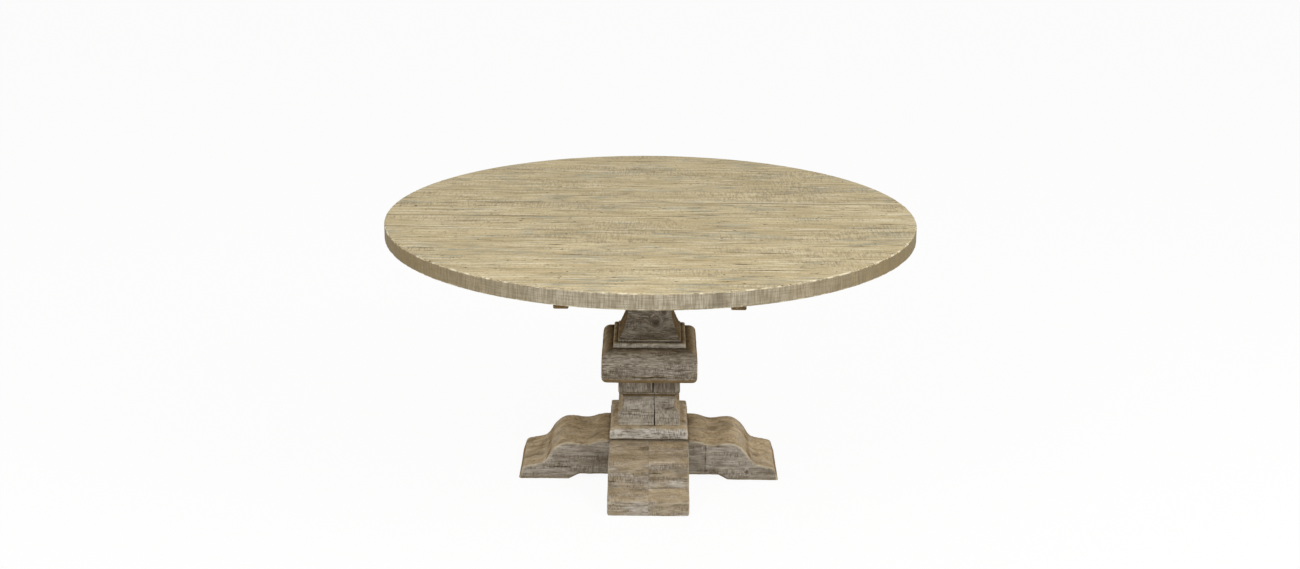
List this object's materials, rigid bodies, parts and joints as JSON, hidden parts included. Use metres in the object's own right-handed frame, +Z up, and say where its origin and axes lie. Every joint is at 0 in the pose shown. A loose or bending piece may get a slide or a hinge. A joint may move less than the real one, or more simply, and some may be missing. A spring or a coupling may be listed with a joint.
{
  "type": "round pedestal table",
  "caption": "Round dining table with a thick plank top on a square moulded pedestal, standing on a cross of scrolled feet with screw levellers.",
  "frame": {"origin": "on the floor under the middle of the top", "axes": "+Z up, the boards of the top run along X, the front of the table faces -Y"},
  "size_m": [1.5238, 1.5239, 0.775],
  "materials": {
    "top_pine": "weathered reclaimed pine, limed and waxed",
    "pedestal_pine": "weathered reclaimed pine, darker grey-brown",
    "dowel_beech": "plain beech dowel",
    "plate_plywood": "unfinished birch plywood",
    "zinc_steel": "bright zinc plate",
    "insert_brass": "turned brass",
    "pad_nylon": "black nylon"
  },
  "bodies": {
    "table": {"batten_left": "pedestal_pine", "batten_right": "pedestal_pine", "batten_screws": "zinc_steel", "batten_washers": "zinc_steel", "cap_block": "pedestal_pine", "column_dowels": "dowel_beech", "cushion_block": "pedestal_pine", "edge_dowels": "dowel_beech", "foot_dowels": "dowel_beech", "front_foot_board_left": "pedestal_pine", "front_foot_board_right": "pedestal_pine", "head_plate": "plate_plywood", "leveller_nuts": "zinc_steel", "neck_block_left": "pedestal_pine", "neck_block_right": "pedestal_pine", "neck_moulding": "pedestal_pine", "plate_bolts": "zinc_steel", "plate_washers": "zinc_steel", "plinth": "pedestal_pine", "shaft": "pedestal_pine", "side_foot_board_back": "pedestal_pine", "side_foot_board_front": "pedestal_pine", "thread_inserts": "insert_brass", "tie_rod": "zinc_steel", "tie_rod_nuts": "zinc_steel", "tie_rod_washers": "zinc_steel", "top_board_01": "top_pine", "top_board_02": "top_pine", "top_board_03": "top_pine", "top_board_04": "top_pine", "top_board_05": "top_pine", "top_board_06": "top_pine", "top_board_07": "top_pine", "top_board_08": "top_pine", "top_board_09": "top_pine", "top_board_10": "top_pine", "top_board_11": "top_pine", "top_board_12": "top_pine", "urn_block_left": "pedestal_pine", "urn_block_right": "pedestal_pine"},
    "pad_front": {"leveller_pad_front": "pad_nylon"},
    "stud_front": {"leveller_stud_front": "zinc_steel"},
    "pad_back": {"leveller_pad_back": "pad_nylon"},
    "stud_back": {"leveller_stud_back": "zinc_steel"},
    "pad_left": {"leveller_pad_left": "pad_nylon"},
    "stud_left": {"leveller_stud_left": "zinc_steel"},
    "pad_right": {"leveller_pad_right": "pad_nylon"},
    "stud_right": {"leveller_stud_right": "zinc_steel"}
  },
  "joints": [
    {"name": "leveller_front_travel", "type": "slide", "parent": "table", "child": "pad_front", "axis": [0, 0, -1], "range_m": [0, 0.01]},
    {"name": "leveller_front_turn", "type": "hinge", "parent": "pad_front", "child": "stud_front", "pos_m": [0, -0.304, 0.015], "axis": [0, 0, -1], "range_deg": [0, 2401]},
    {"name": "leveller_back_travel", "type": "slide", "parent": "table", "child": "pad_back", "axis": [0, 0, -1], "range_m": [0, 0.01]},
    {"name": "leveller_back_turn", "type": "hinge", "parent": "pad_back", "child": "stud_back", "pos_m": [0, 0.304, 0.015], "axis": [0, 0, -1], "range_deg": [0, 2401]},
    {"name": "leveller_left_travel", "type": "slide", "parent": "table", "child": "pad_left", "axis": [0, 0, -1], "range_m": [0, 0.01]},
    {"name": "leveller_left_turn", "type": "hinge", "parent": "pad_left", "child": "stud_left", "pos_m": [-0.304, 0, 0.015], "axis": [0, 0, -1], "range_deg": [0, 2401]},
    {"name": "leveller_right_travel", "type": "slide", "parent": "table", "child": "pad_right", "axis": [0, 0, -1], "range_m": [0, 0.01]},
    {"name": "leveller_right_turn", "type": "hinge", "parent": "pad_right", "child": "stud_right", "pos_m": [0.304, 0, 0.015], "axis": [0, 0, -1], "range_deg": [0, 2401]}
  ],
  "couplings": [
    {"joint": "leveller_front_turn", "follows": "leveller_front_travel", "rad_per_m": 4188.8},
    {"joint": "leveller_back_turn", "follows": "leveller_back_travel", "rad_per_m": 4188.8},
    {"joint": "leveller_left_turn", "follows": "leveller_left_travel", "rad_per_m": 4188.8},
    {"joint": "leveller_right_turn", "follows": "leveller_right_travel", "rad_per_m": 4188.8}
  ]
}
